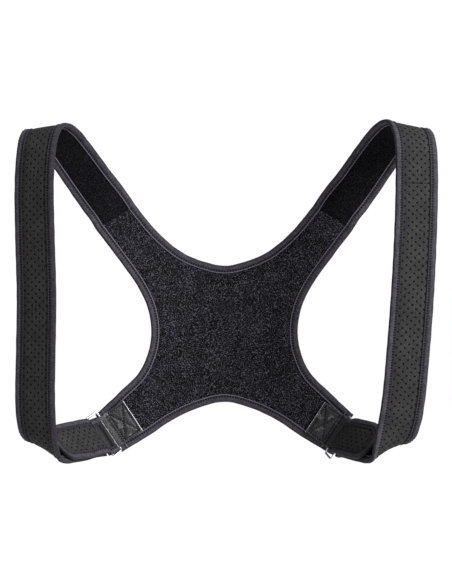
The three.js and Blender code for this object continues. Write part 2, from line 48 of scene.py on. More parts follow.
# ---- sizes, as in the part's source
STRAP_SPAN, LOOP_HEIGHT, LOOP_DEPTH, BACK_RADIUS = 392.0, 346.0, 120.0, 450.0
HALF_WAIST, HALF_HEIGHT, ARM_WIDTH, STRAP_WIDTH = 79.5, 75.0, 50.0, 45.0
UPPER_ARM = (118.6, 127.4, 33.8)      # out, up, slope
LOWER_ARM = (125.2, -107.5, 55.5)
PADDING, GAP, WIRE, LEAF = 3.0, 0.3, 2.6, 1.0
EDGE_WIDTH = 1.3                      # binding beyond the padding's edge
TAPE_OUTER = 2.1                      # outside of the tape, from mid-cloth
RING_REACH, RING_SLACK, RING_CORNER = 18.5, 0.8, 2.4
RING_SWING = {"left": 14.0, "right": 50.0}
RING_SHIFT = {"left": 4.0, "right": 1.5}
TAB_SHIFT = {"left": 2.0, "right": 0.0}
TAB_WIDTH, TAB_LENGTH = 40.0, 31.0
TAIL_LENGTH = {"left": 69.0, "right": 56.0}
TAIL_CORNER, TAIL_STEP, TAIL_APPROACH = 15.0, 6.0, 14.0
SHOULDER_LENGTH, BEND_STATION, SKEWED_STATIONS = 190.0, 14, 3.0
FOLD_RADIUS = WIRE / 2 + GAP + 1.5 + TAPE_OUTER
RING_MID = RING_REACH - WIRE
BAR_HEIGHT = TAPE_OUTER + GAP + LEAF + GAP + WIRE / 2

NECK_CURVE = [(0.31, 1.05), (0.61, 1.19), (0.945, 1.49)]
SIDE_CURVE = [(1.41, 1.055), (1.18, 0.70), (1.043, 0.38), (0.995, 0.06),
              (1.026, -0.235), (1.163, -0.57), (1.41, -0.837)]
BOTTOM_CURVE = [(1.053, -1.473), (0.725, -1.245), (0.367, -1.072)]

# Stations of each strap: out, forward, up (shares), turn, tip (degrees)
STRAP_ROUTE = {
    "left": [
        (0.731, 0.20, 0.470, 5, 35), (0.819, 0.31, 0.542, 9, 34),
        (0.888, 0.45, 0.597, 11, 25), (0.934, 0.59, 0.624, 14, 14),
        (0.962, 0.74, 0.627, 17, 6), (0.980, 0.88, 0.597, 20, 3),
        (0.990, 0.96, 0.545, 22, 0), (0.998, 0.985, 0.450, 22, -1),
        (0.993, 1.00, 0.300, 21, -1), (0.984, 1.01, 0.120, 21, 0),
        (0.988, 1.01, -0.050, 21, 1), (0.993, 0.985, -0.180, 20, 1),
        (0.989, 0.955, -0.253, 20, -7), (0.978, 0.90, -0.303, 18, -20),
        (0.955, 0.80, -0.336, 10, -30), (0.918, 0.69, -0.340, 2, -37),
        (0.868, 0.57, -0.336, -3, -42), (0.812, 0.445, -0.332, -8, -47),
        (0.762, 0.345, -0.327, -13, -51), (0.712, 0.207, -0.328, 0, 0)],
    "right": [
        (0.728, 0.20, 0.465, 5, 36), (0.819, 0.31, 0.541, 6, 37),
        (0.892, 0.45, 0.599, 8, 29), (0.944, 0.59, 0.628, 10, 19),
        (0.980, 0.74, 0.633, 12, 10), (1.000, 0.88, 0.605, 12, 5),
        (1.008, 0.96, 0.555, 12, 1), (1.009, 0.985, 0.450, 9, -1),
        (1.001, 1.00, 0.300, 8, 0), (0.984, 1.01, 0.120, 6, 0),
        (0.961, 1.01, -0.050, 5, 0), (0.941, 0.985, -0.180, 5, 0),
        (0.922, 0.955, -0.253, 6, -6), (0.898, 0.90, -0.304, 8, -17),
        (0.866, 0.80, -0.338, 8, -28), (0.824, 0.69, -0.337, 2, -39),
        (0.783, 0.60, -0.331, -3, -45), (0.736, 0.50, -0.326, -8, -50),
        (0.702, 0.40, -0.324, -13, -54), (0.682, 0.280, -0.330, 0, 0)],
}

# ---- finish sizes
PRESSED = 1.1           # half thickness of the padding under its binding
FULL = 1.8              # half thickness of the free padding
PANEL_SWELL, STRAP_SWELL = 0.22, 0.20       # soft unevenness of the plush faces
PANEL_BACK_SWELL, STRAP_FACE_SWELL = 0.18, 0.15     # and of the perforated faces
SEAM_HALF = 0.7         # half thickness of a strap where the panel takes it in
SEAM_IN, TAPE_IN = 1.5, 0.9                 # how far a strap and its tape go into the panel
SEAM_RISE = (-1.6, 3.0) # lengths between which a strap swells from that seam
SEAM_SPREAD, SPREAD_END = 0.6, 45.0         # extra half width at the seam, and where it is gone
TAPE_DEPTH = 7.2        # binding on each face, from the padding's edge
STITCH_DEPTH = 5.0      # stitch line, from the padding's edge
STITCH_PITCH, STITCH_LENGTH, THREAD = 2.8, 1.7, 0.42
STITCH_RISE = 1.6       # a tape's stitches, from mid-cloth
SECTION_STEP = 1.0      # between two sections of a binding
SKIN_HEIGHT = 1.45      # a tape's outer skin lies higher than this over mid-cloth
DIMPLE, TAPE_SWELL, PUCKER, RIPPLE = 0.16, 0.10, 0.35, 0.12
END_LIFT, STRAP_LIFT = 0.35, 0.04           # how far a tape lies over its neighbours
HOLE_LONG, HOLE_WIDE = 8.1, 8.5             # one row of holes; a second one stands halfway
HOLE_CELLS, SIDE_CELLS, BACK_RATIO = 12, 19, 3      # the strap's grid, coarser on its back
HOLE_DIP, SEAM_DIP, CROSS_DIP = 0.8, 0.35, 0.4
CROSS_SEAM = 223.0      # from the panel to the seam across the right strap

# ---- a strap's end at its ring
ROUTE_STEP, LEAD = 0.5, 4.0                 # rows of a route, and its start inside the panel
AIM_ROWS = 60           # rows before the ring that give the fold's direction
TURN_IN = 7.0           # the strap turns into the fold over this length
FOLD_ROWS, FOLD_LEAN = 36, 0.3
LINE_BLUR, WIDTH_BLUR, NORMAL_BLUR = 2.5, 5, 3      # in rows
FOLD_REACH = {"left": 14.2, "right": 11.8}  # tip of the fold round the ring, from its bar
SLOT = {"left": 8.5, "right": 1.5}          # painted shade of the slot beside the tab, from the fold's tip
SLOT_WIDTH = 2.6
BAND = {"left": 20.0, "right": 8.5}         # tail's stitched line, from the fold's tip
RING_EXTRA = {"left": 0.8, "right": -0.8}   # half length of the ring beyond the strap's own
RING_DROP = {"left": 0.7, "right": 3.6}     # the ring hangs this much low in its folds


# ---- camera: the photograph's viewing angle
camera = bpy.data.objects.new("camera", bpy.data.cameras.new("camera"))
camera.location = (0.00165, -1.8, 0.046)
camera.rotation_euler = (math.radians(90), 0, 0)
camera.data.lens = 100.87
camera.data.sensor_width = 36
camera.data.clip_end = 200
bpy.context.scene.collection.objects.link(camera)
bpy.context.scene.camera = camera


# ---- curves and frames
def unit(v):
    """Vectors along the last axis, each divided by its length."""
    return v / np.linalg.norm(v, axis=-1, keepdims=True)


def ease(x, low, high):
    """Smooth step: 3t^2 - 2t^3 of x's share between low and high."""
    t = np.clip((np.asarray(x, float) - low) / (high - low), 0, 1)
    return t * t * (3 - 2 * t)


def spline(points, at):
    """Centripetal Catmull-Rom curve through the points, at places 0 to n - 1."""
    p = np.vstack([2 * points[0] - points[1], points, 2 * points[-1] - points[-2]])
    i = np.clip(np.floor(at).astype(int), 0, len(points) - 2)
    w = (at - i)[:, None]
    a, b, c, d = p[i], p[i + 1], p[i + 2], p[i + 3]
    knots = [np.maximum(np.sum((v - u) ** 2, axis=1, keepdims=True) ** 0.25, 1e-4)
             for u, v in ((a, b), (b, c), (c, d))]
    t1 = ((b - a) / knots[0] - (c - a) / (knots[0] + knots[1]) + (c - b) / knots[1]) * knots[1]
    t2 = ((c - b) / knots[1] - (d - b) / (knots[1] + knots[2]) + (d - c) / knots[2]) * knots[1]
    return b + t1 * w + (3 * (c - b) - 2 * t1 - t2) * w ** 2 + (2 * (b - c) + t1 + t2) * w ** 3


def run_length(points):
    """Length along a polyline at each of its points."""
    return np.concatenate([[0], np.cumsum(np.linalg.norm(np.diff(points, axis=0), axis=1))])


def rows_at(at, s, values):
    """Rows of values, read off in between at the given places along s."""
    return np.stack([np.interp(at, s, column) for column in values.T], axis=-1)


def resample(points, at):
    """The polyline's points at the given lengths."""
    return rows_at(at, run_length(points), points)


def edge_curve(points, step=0.5):
    """A smooth curve through the given points, with a point every half millimetre."""
    points = np.array(points, float)
    fine = spline(points, np.linspace(0, len(points) - 1, 3000))
    length = run_length(fine)[-1]
    return resample(fine, np.linspace(0, 1, int(round(length / step)) + 1) * length)


def blur(values, sigma):
    """Rows averaged with a bell-shaped weight, the ends held."""
    reach = int(3 * sigma) + 1
    weights = np.exp(-0.5 * (np.arange(-reach, reach + 1) / sigma) ** 2)
    weights /= weights.sum()
    before = 2 * values[0] - values[reach:0:-1]
    after = 2 * values[-1] - values[-2:-reach - 2:-1]
    longer = np.vstack([before, values, after])
    return np.stack([np.convolve(column, weights, "valid") for column in longer.T], axis=1)


def mirror(points):
    """Flat points with x turned to -x."""
    return points * np.array([-1.0, 1.0])


def arm_end(arm, sense):
    """Centre, corners and outward direction of an arm's end on the left half."""
    out, up, slope = arm
    across = np.array([math.cos(math.radians(slope)), sense * math.sin(math.radians(slope))])
    centre = np.array([-out, up])
    half = ARM_WIDTH / 2 - EDGE_WIDTH
    outward = np.array([-sense * across[1], sense * across[0]])
    return {"centre": centre, "across": across, "hole": centre - across * half,
            "body": centre + across * half, "outward": outward}


UPPER, LOWER = arm_end(UPPER_ARM, 1), arm_end(LOWER_ARM, -1)


def panel_place(flat, h):
    """Flat panel coordinates (x, z) on the rounded back, an upright cylinder of BACK_RADIUS,
    raised by h along its radius to the inner side."""
    x, z = flat[..., 0], flat[..., 1]
    depth = np.sqrt(BACK_RADIUS ** 2 - x ** 2)
    normal = np.stack([-x, -depth, np.zeros_like(x)], axis=-1) / BACK_RADIUS
    base = np.stack([x, depth - BACK_RADIUS + PADDING / 2, z], axis=-1)
    return base + normal * np.asarray(h)[..., None]


def arm_frame(side):
    """Frame of the tab: origin, along the arm, width towards the bottom edge, inward."""
    sign = 1 if side == "left" else -1

    def at(p):
        return panel_place(np.array([sign * p[0], p[1]]), np.zeros(()))

    middle = LOWER["centre"] - LOWER["across"] * TAB_SHIFT[side]
    origin, root = at(middle), at(middle - LOWER["outward"] * TAB_LENGTH)
    along = unit(origin - root)
    width = at(LOWER["body"]) - at(LOWER["hole"])
    width = unit(width - along * width.dot(along))
    inward = np.cross(along, width)
    inward = -inward if inward[1] > 0 else inward
    corners = [middle + LOWER["outward"] * reach + LOWER["across"] * half
               for reach in (0, -TAB_LENGTH) for half in (-TAB_WIDTH / 2, TAB_WIDTH / 2)]
    rise = max((at(corner) - origin).dot(inward) for corner in corners)
    return origin + inward * rise, along, width, inward


def ring_frame(side):
    """Places of the ring's two bars and its own directions."""
    origin, along, width, inward = arm_frame(side)
    swing = math.radians(RING_SWING[side])
    reach = along * math.cos(swing) + inward * math.sin(swing)
    face = inward * math.cos(swing) - along * math.sin(swing)
    fold = origin + inward * BAR_HEIGHT
    tab_bar = fold + width * (TAB_SHIFT[side] - RING_SHIFT[side])
    return {"fold": fold, "tab_bar": tab_bar, "strap_bar": tab_bar + reach * RING_MID,
            "reach": reach, "face": face, "width": width}


class Route:
    """A strap's place: centre c, width direction a and outer normal n at each length s.

    The centre is a spline through the seam, the stations and the ring, then a stretched half
    circle round the ring's bar, then the tail, which follows the strap's own line at a lift
    that falls off from the fold. The width turns with the stations, and n is square to both.
    """

    def __init__(self, side):
        sign = -1 if side == "left" else 1
        ring = ring_frame(side)
        centre = UPPER["centre"] * np.array([-sign, 1])
        across = UPPER["across"] * np.array([-sign, 1])
        origin = panel_place(centre, np.zeros(()))
        width = unit(panel_place(centre + across, np.zeros(())) - origin)
        inward = panel_place(centre, np.ones(())) - origin
        along = np.cross(width, inward)
        along = -along if along[2] < 0 else along
        finish = ring["strap_bar"] - ring["face"] * FOLD_RADIUS
        rows = np.array(STRAP_ROUTE[side], float)
        stations = np.stack([sign * rows[:, 0] * STRAP_SPAN / 2, -rows[:, 1] * LOOP_DEPTH,
                             rows[:, 2] * LOOP_HEIGHT], axis=1)
        last = len(stations) - 1
        late = ease(np.arange(last + 1), BEND_STATION, last)[:, None]
        stations += (finish - stations[-1]) * late
        centres = np.vstack([origin + along * GAP, origin + along * STRAP_WIDTH / 4, stations])
        turn, tip = np.radians(rows[:-1, 3]), np.radians(rows[:-1, 4])
        turned = np.stack([-sign * np.cos(turn) * np.cos(tip), -np.sin(turn) * np.cos(tip),
                           np.sin(tip)], axis=1)
        widths = np.vstack([width, width, turned, ring["width"]])
        at = np.linspace(0, len(centres) - 1, 2400)
        c, a = spline(centres, at), spline(widths, at)
        s = run_length(c)
        even = np.arange(0, s[-1], ROUTE_STEP)
        c, a = rows_at(even, s, c), rows_at(even, s, a)
        square = np.minimum((at[-1] - np.interp(even, s, at)) / SKEWED_STATIONS, 1)[:, None]
        tangent = unit(np.gradient(c, axis=0))
        late = ease(even, s[-1] - TURN_IN, s[-1])[:, None]
        back = c[-AIM_ROWS] - c[-1]
        back = unit(unit(back - ring["face"] * back.dot(ring["face"])) + ring["reach"])
        tangent = unit(tangent * (1 - late) - back * late)
        a = unit(a - tangent * np.sum(a * tangent, axis=1, keepdims=True) * square)
        n = unit(np.cross(tangent, a)) * -sign
        self.main = even[-1]
        turns = np.linspace(0, math.pi, FOLD_ROWS)[1:, None]
        tip = FOLD_REACH[side] * np.sin(turns) * (1 + FOLD_LEAN * np.cos(turns))
        fold_c = ring["strap_bar"] + n[-1] * np.cos(turns) * FOLD_RADIUS - back * tip
        runs = np.arange(ROUTE_STEP, TAIL_LENGTH[side] + 6, ROUTE_STEP)
        under_c, under_a, under_n = (rows_at(self.main - runs, even, v) for v in (c, a, n))
        lift = TAIL_STEP + (2 * FOLD_RADIUS - TAIL_STEP) * np.exp(-runs / TAIL_APPROACH)
        before = np.array([[-LEAD], [-LEAD / 2]])
        self.c = np.vstack([c[0] + along * before, c, fold_c, under_c - under_n * lift[:, None]])
        self.a = np.vstack([a[[0, 0]], a, np.repeat(ring["width"][None], len(turns), 0), under_a])
        self.s = run_length(self.c) - LEAD
        fold_start = len(before) + len(even)
        fold_tip = self.s[fold_start + int(np.argmax(tip))]
        self.slot, self.line = fold_tip + SLOT[side], fold_tip + BAND[side]
        self.total = self.s[fold_start + len(turns)] + TAIL_LENGTH[side]
        grid = np.arange(-LEAD, self.s[-1], ROUTE_STEP)
        self.c = blur(rows_at(grid, self.s, self.c), LINE_BLUR)
        self.a = unit(blur(rows_at(grid, self.s, self.a), WIDTH_BLUR))
        self.s = grid
        tangent = unit(np.gradient(self.c, axis=0))
        self.n = unit(blur(np.cross(tangent, self.a), NORMAL_BLUR)) * -sign

    def half_width(self, s):
        """Half width of the padding: the arm's at the seam, easing to the strap's past the
        shoulder, and at the tail a quarter circle at each corner."""
        width = ARM_WIDTH + (STRAP_WIDTH - ARM_WIDTH) * ease(s, 0, SHOULDER_LENGTH)
        full = width / 2 - EDGE_WIDTH + SEAM_SPREAD * (1 - ease(s, 0, SPREAD_END))
        beyond = np.maximum(s - (self.total - TAIL_CORNER), 0)
        return full - TAIL_CORNER + np.sqrt(np.maximum(TAIL_CORNER ** 2 - beyond ** 2, 0))

    def bend(self, s):
        """How sharply the worn strap bends, from 0 to 1, at lengths s before the ring."""
        tangent = unit(np.gradient(self.c, axis=0))
        turn = np.linalg.norm(np.gradient(tangent, ROUTE_STEP, axis=0), axis=1)
        worn = 1 - ease(s, self.main - 25, self.main - 15)
        return ease(np.interp(s, self.s, turn), 0.012, 0.03) * worn

    def place(self, flat, h):
        """Flat strap coordinates (length, across) and height h, in space."""
        s, v = flat[..., 0], flat[..., 1]
        c, a, n = (rows_at(s, self.s, x) for x in (self.c, self.a, self.n))
        return c + a * v[..., None] + n * np.asarray(h)[..., None]


# ---- meshes
def wander(p, size, seed):
    """Soft wandering from -1 to 1: a sum of sines in seeded directions, about size mm long."""
    random = np.random.default_rng(seed)
    total = np.zeros(p.shape[:-1])
    for _ in range(7):
        way = random.normal(size=p.shape[-1])
        way *= 2 * math.pi / size / np.linalg.norm(way) * random.uniform(0.6, 1.5)
        total += np.sin(p @ way + random.uniform(0, 6.28))
    return total / 3.5


def make_piece(name, points, faces, replaced, material, slot, patterns=None, materials=(),
               picks=None):
    """A mesh object from points in mm and blocks of faces, turned outwards. patterns is each
    point's place in the cloth, and picks is each face's number among the materials."""
    mesh = bpy.data.meshes.new(name)
    rows = [row for block in outward(points, faces) for row in block.tolist()]
    mesh.from_pydata((points * MM).tolist(), [], rows)
    mesh.materials.append(material)
    for extra in materials:
        mesh.materials.append(extra)
    if picks is not None:
        mesh.polygons.foreach_set("material_index", np.asarray(picks, np.int32))
    if patterns is not None:
        attribute = mesh.attributes.new("cloth", "FLOAT_VECTOR", "POINT")
        attribute.data.foreach_set("vector", np.asarray(patterns, np.float32).ravel())
    mesh.polygons.foreach_set("use_smooth", np.ones(len(mesh.polygons), bool))
    mesh.validate()
    mesh.update()
    piece = bpy.data.objects.new(name, mesh)
    bpy.context.scene.collection.objects.link(piece)
    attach(piece, "root")
    if replaced:
        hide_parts(*replaced)
    return piece


def quads(index, flip=False):
    """Faces of a grid of point numbers."""
    corners = [index[:-1, :-1], index[:-1, 1:], index[1:, 1:], index[1:, :-1]]
    q = np.stack(corners, axis=-1).reshape(-1, 4)
    return q[:, ::-1] if flip else q


def outward(points, faces):
    """The faces, all turned round if the volume they enclose comes out negative."""
    volume = 0.0
    for block in faces:
        for k in range(1, block.shape[1] - 1):
            a, b, c = points[block[:, 0]], points[block[:, k]], points[block[:, k + 1]]
            volume += np.einsum("ij,ij->", a, np.cross(b, c))
    return [f[:, ::-1] for f in faces] if volume < 0 else faces


def rim(fine, coarse, ratio):
    """Faces between a border line of points and another with ratio times fewer."""
    count = len(coarse) - 1
    steps = np.arange(count)[:, None] * ratio + np.arange(ratio, -1, -1)
    return np.hstack([coarse[:-1, None], coarse[1:, None], fine[steps]])


def padded_solid(front, back, ratio):
    """Points and faces of a closed pad from a fine front grid and a coarser back grid."""
    rows, cols = front.shape[:2]
    f = np.arange(rows * cols).reshape(rows, cols)
    b = np.arange(back.shape[0] * back.shape[1]).reshape(back.shape[:2]) + rows * cols
    points = np.vstack([front.reshape(-1, 3), back.reshape(-1, 3)])
    sides = [rim(f[:, 0], b[:, 0], ratio), rim(f[::-1, -1], b[::-1, -1], ratio),
             rim(f[0, ::-1], b[0, ::-1], ratio), rim(f[-1], b[-1], ratio)]
    return points, [quads(f, True), quads(b)] + sides


# One section of folded binding: depth from the padding's edge, and height from mid-cloth.
# The outer skin goes round the edge, and the lining comes back beside the padding.
HALF_SECTION = np.array([
    [7.20, 1.42], [7.28, 1.72], [7.10, 2.02], [6.80, 2.14], [6.45, 2.04], [5.90, 1.70],
    [5.00, 1.50], [4.10, 1.72], [3.50, 2.02], [2.90, 2.16], [2.20, 2.20], [1.20, 2.18],
    [0.30, 2.08], [-0.40, 1.84], [-0.90, 1.40], [-1.20, 0.74]])
LINING = np.array([
    [6.4, -1.36], [0.0, -1.38], [-0.35, -1.0], [-0.35, 1.0], [0.0, 1.38], [6.4, 1.36]])
SECTION = np.vstack([HALF_SECTION, [[-EDGE_WIDTH, 0.0]], HALF_SECTION[::-1] * [1, -1], LINING])


class Binding:
    """Binding tape along a flat edge path, and the stitches that hold it."""

    def __init__(self, path, inward, place, lift=0.0, seed=1, plush_up=1):
        total = run_length(path)[-1]
        self.s = np.linspace(0, total, int(total / SECTION_STEP) + 1)
        self.path = resample(path, self.s)
        along = unit(blur(np.gradient(self.path, axis=0), 2))
        self.side = np.stack([-along[:, 1], along[:, 0]], axis=1) * inward
        self.place, self.lift, self.seed, self.total = place, lift, seed, total
        self.bend, self.plush_up = np.zeros(len(self.s)), plush_up

    def at(self, s, depth, height):
        """A point of the tape: s along the edge, depth into the cloth, height over mid-cloth."""
        base, side = rows_at(s, self.s, self.path), rows_at(s, self.s, self.side)
        return self.place(base + side * depth[..., None], height)

    def tape(self):
        """The tape's closed mesh: its section carried along the edge, in waves of the stitch
        pitch along the stitch line, with a soft swell, puckers where the strap bends, and a
        ripple of its folded edge."""
        s, depth = np.meshgrid(self.s, SECTION[:, 0], indexing="ij")
        height = np.broadcast_to(SECTION[:, 1], s.shape).copy()
        flat = np.stack([s, depth], axis=-1)
        side, skin = np.sign(height), np.abs(height) > SKIN_HEIGHT
        pull = np.exp(-((depth - STITCH_DEPTH) / 1.1) ** 2)
        pull *= DIMPLE * np.cos(2 * math.pi * s / STITCH_PITCH)
        swell = wander(flat, 16.0, self.seed) * np.exp(-((depth - 2) / 2.6) ** 2)
        height += side * (self.lift + np.where(skin, pull + TAPE_SWELL * swell, 0))
        bend = np.interp(s, self.s, self.bend) * np.exp(-((depth - 1.0) / 3.2) ** 2)
        height += side * PUCKER * bend * np.sin(2 * math.pi * s / 4.6 + 0.5 * depth)
        ripple = RIPPLE * wander(flat[..., :1], 22.0, self.seed + 5) * ease(-depth, -1.0, 1.2)
        points = self.at(s, depth - ripple, height)
        rows, cols = s.shape
        index = np.arange(rows * cols).reshape(rows, cols)
        index = np.hstack([index, index[:, :1]])
        caps = [index[:1, :-1], index[-1:, -2::-1]]
        pattern = np.stack([s, depth, side * self.plush_up], axis=-1)
        return points.reshape(-1, 3), [quads(index)] + caps, pattern.reshape(-1, 3)

    def stitches(self):
        """The stitches on both faces, one for each pitch along the stitch line."""
        at = np.arange(0.5, self.total, STITCH_PITCH)
        both = np.concatenate([at, at])
        face = np.repeat([1.0, -1.0], len(at))
        both, face = both[:, None, None], face[:, None, None]
        return thread_pieces(lambda t, across, up: self.at(
            both + t, STITCH_DEPTH + face * across, face * (STITCH_RISE + self.lift + up)),
            len(both))


def thread_pieces(place, count):
    """Small rounded bars of thread: rings of five points at four places along each stitch.
    place takes a point's run along the thread, its side step and its rise."""
    t = np.array([-0.5, -0.28, 0.28, 0.5])[:, None] * STITCH_LENGTH
    r = np.array([0.45, 1.0, 1.0, 0.45])[:, None] * THREAD
    turn = np.arange(5)[None] * 2 * math.pi / 5
    shape = (count, 4, 5)
    points = place(np.broadcast_to(t, shape), np.broadcast_to(r * np.cos(turn), shape),
                   np.broadcast_to(r * np.sin(turn), shape)).reshape(-1, 3)
    index = np.arange(20).reshape(4, 5)
    ring = quads(np.hstack([index, index[:, :1]]))
    start = (np.arange(count) * 20)[:, None, None]
    faces = [(start + ring[None]).reshape(-1, 4)]
    caps = np.stack([index[0], index[-1, ::-1]])
    faces.append((start + caps[None]).reshape(-1, 5))
    return points, faces


def joined(parts):
    """Several closed sets of points and faces as one, each turned outwards."""
    points, faces, start = [], [], 0
    for p, f in parts:
        points.append(p)
        faces += [block + start for block in outward(p, f)]
        start += len(p)
    return np.vstack(points), faces


# ---- materials
class Value:
    """A shader socket; arithmetic on it adds Math nodes."""

    def __init__(self, paint, socket):
        self.paint, self.socket = paint, socket

    def _math(self, operation, *parts):
        node = self.paint.node("ShaderNodeMath", {"operation": operation}, dict(enumerate(parts)))
        return Value(self.paint, node.outputs[0])

    def __add__(self, other): return self._math("ADD", self, other)
    def __radd__(self, other): return self._math("ADD", other, self)
    def __sub__(self, other): return self._math("SUBTRACT", self, other)
    def __rsub__(self, other): return self._math("SUBTRACT", other, self)
    def __mul__(self, other): return self._math("MULTIPLY", self, other)
    def __rmul__(self, other): return self._math("MULTIPLY", other, self)
    def __truediv__(self, other): return self._math("DIVIDE", self, other)
    def __abs__(self): return self._math("ABSOLUTE", self)
    def fract(self): return self._math("FRACT", self)
    def sin(self): return self._math("SINE", self)
    def sqrt(self): return self._math("SQRT", self)
    def lowest(self, other): return self._math("MINIMUM", self, other)
    def highest(self, other): return self._math("MAXIMUM", self, other)

    def step(self, low, high):
        """0 below low, 1 above high, smooth between."""
        node = self.paint.node("ShaderNodeMapRange", {"interpolation_type": "SMOOTHSTEP"},
                               {"Value": self, "From Min": low, "From Max": high})
        return Value(self.paint, node.outputs[0])


class Paint:
    """A material in the making."""

    def __init__(self, name, **fixed):
        self.material = bpy.data.materials.new(name)
        self.material.use_nodes = True
        self.tree = self.material.node_tree
        self.shader = next(n for n in self.tree.nodes if n.type == "BSDF_PRINCIPLED")
        for socket, value in fixed.items():
            self.shader.inputs[socket.replace("_", " ")].default_value = value

    def node(self, kind, settings=None, inputs=None):
        """A node of that kind, its settings made first, then its sockets' values or links."""
        node = self.tree.nodes.new(kind)
        for key, value in (settings or {}).items():
            setattr(node, key, value)
        for key, value in (inputs or {}).items():
            if isinstance(value, Value):
                self.tree.links.new(value.socket, node.inputs[key])
            else:
                node.inputs[key].default_value = value
        return node

    def place(self):
        """Object coordinates."""
        return Value(self, self.node("ShaderNodeTexCoord").outputs["Object"])

    def cloth(self):
        """The piece's own cloth coordinates: mm along, mm across or deep, and its mask."""
        node = self.node("ShaderNodeAttribute", {"attribute_name": "cloth"})
        return Value(self, node.outputs["Vector"])

    def parts(self, vector):
        """The three numbers of a vector."""
        node = self.node("ShaderNodeSeparateXYZ", None, {0: vector})
        return [Value(self, node.outputs[k]) for k in range(3)]

    def noise(self, vector, scale, detail=2.0, roughness=0.5):
        """Soft noise from 0 to 1."""
        node = self.node("ShaderNodeTexNoise", None, {
            "Vector": vector, "Scale": scale, "Detail": detail, "Roughness": roughness})
        return Value(self, node.outputs[0])

    def cells(self, vector, scale):
        """Distance to the nearest of scattered points, as pebbled grain."""
        node = self.node("ShaderNodeTexVoronoi", None, {"Vector": vector, "Scale": scale})
        return Value(self, node.outputs["Distance"])

    def mix(self, factor, low, high):
        """Colour from low to high as factor goes from 0 to 1."""
        node = self.node("ShaderNodeMix", {"data_type": "RGBA"}, {0: factor, 6: low, 7: high})
        return Value(self, node.outputs[2])

    def feed(self, socket, value):
        """Links a worked-out value to a socket of the shader."""
        self.tree.links.new(value.socket, self.shader.inputs[socket])

    def relief(self, height, distance):
        """Bump of that height, in metres at height 1."""
        node = self.node("ShaderNodeBump", None, {
            "Height": height, "Distance": distance, "Strength": 1.0})
        self.tree.links.new(node.outputs[0], self.shader.inputs["Normal"])


def tone(red, green, blue):
    """Scene colour of a screen colour."""
    return tuple(((c / 255 + 0.055) / 1.055) ** 2.4 if c > 10 else c / 255 / 12.92
                 for c in (red, green, blue)) + (1.0,)


def plush(name, dark, light):
    """Looped pile: dark cloth, pale specks where fine noise is high, which are painted glints of
    the loops, and a looped relief.
    """
    p = Paint(name, Roughness=0.95, Specular_IOR_Level=0.04)
    at = p.place()
    specks = p.noise(at, 900.0, 2.0, 0.7)
    blotch = p.noise(at, 45.0, 3.0, 0.6)
    # pale specks: painted glints of the loops
    pale = (specks + (blotch - 0.5) * 0.1).step(0.5, 0.74)
    p.feed("Base Color", p.mix(pale, tone(*dark), tone(*light)))
    p.relief(specks + p.noise(at, 1500.0, 1.0) * 0.5, 0.0007)
    return p.material


def hole_distance(p, along, across):
    """Distance in mm to the nearest hole of two staggered rows."""
    found = []
    for shift in (0.0, 0.5):
        a = ((along / HOLE_LONG + shift).fract() - 0.5) * HOLE_LONG
        b = ((across / HOLE_WIDE + shift).fract() - 0.5) * HOLE_WIDE
        found.append((a * a + b * b).sqrt())
    return found[0].lowest(found[1])


def perforated():
    """Knit outer face of the pads, with small punched holes. The cloth's mask is 1 where it is
    punched, 0 where it is plain and below 0 where painted shade darkens the slot beside a tab."""
    p = Paint("perforated_cloth", Roughness=0.85, Specular_IOR_Level=0.06)
    at = p.place()
    along, across, punched = p.parts(p.cloth())
    near = hole_distance(p, along + HOLE_LONG / 2, across + HOLE_WIDE / 2)
    hole = (1 - near.step(0.8, 1.2)) * punched.step(0.4, 0.6)
    knit = ((along * 5.2).sin() * (across * 6.1).sin()) * 0.5 + 0.5
    mottle = p.noise(at, 900.0, 2.0, 0.6)
    shade = (mottle * 0.75 + knit * 0.15 + p.noise(at, 60.0, 2.0) * 0.2).step(0.25, 0.85)
    cloth = p.mix(shade, tone(2, 2, 3), tone(36, 36, 36))
    # painted shade: the slot beside a tab, where the fold lies in shadow, is coloured near black
    slot = (0.0 - punched).highest(0.0) * 0.95
    p.feed("Base Color", p.mix(hole.highest(slot), cloth, tone(1, 1, 2)))
    p.relief(mottle * 0.3 + knit * 0.25 - hole * 2.0, 0.0004)
    return p.material


def tape_cloth():
    """Binding tape: fine cross ribs, painted shade in the stitch groove with darker dashes at the
    stitches, painted shade along the folded edge, and an inner lip that is pale on the plush
    side and dark on the perforated side."""
    p = Paint("binding_tape", Roughness=0.75, Sheen_Weight=0.01, Specular_IOR_Level=0.06)
    at = p.place()
    along, depth, face = p.parts(p.cloth())
    rib = (along * 7.5 + p.noise(at, 300.0) * 3.0).sin() * 0.5 + 0.5
    mottle = p.noise(at, 420.0, 3.0, 0.6)
    plush_side = face.step(-0.5, 0.5)
    groove = 1 - abs(depth - STITCH_DEPTH).step(0.8, 1.5)
    dash = ((along / STITCH_PITCH * 2 * math.pi).sin() * 1.4 + 0.55).step(0.0, 1.0)
    lip = depth.step(6.3, 6.6) * plush_side
    beyond = depth.step(5.8, 6.5) * (1 - plush_side) * 0.55
    shade = (mottle * 0.8 + rib * 0.14 + p.noise(at, 70.0, 2.0) * 0.22).step(0.25, 0.9)
    cloth = p.mix(shade, tone(12, 11, 15), tone(44, 42, 48))
    # painted shade: the stitch groove darkened, most in dashes at the stitches
    dark = p.mix((groove * (0.2 + dash * 0.78)).highest(beyond), cloth, tone(1, 1, 3))
    lipped = p.mix(lip * 0.55, dark, tone(74, 72, 80))
    # painted shade: the folded edge darkened where it turns away
    turned = (1 - depth.step(-1.3, 1.0)) * 0.7
    p.feed("Base Color", p.mix(turned, lipped, tone(6, 6, 8)))
    p.relief(mottle * 0.5 + rib * 0.2, 0.00035)
    return p.material


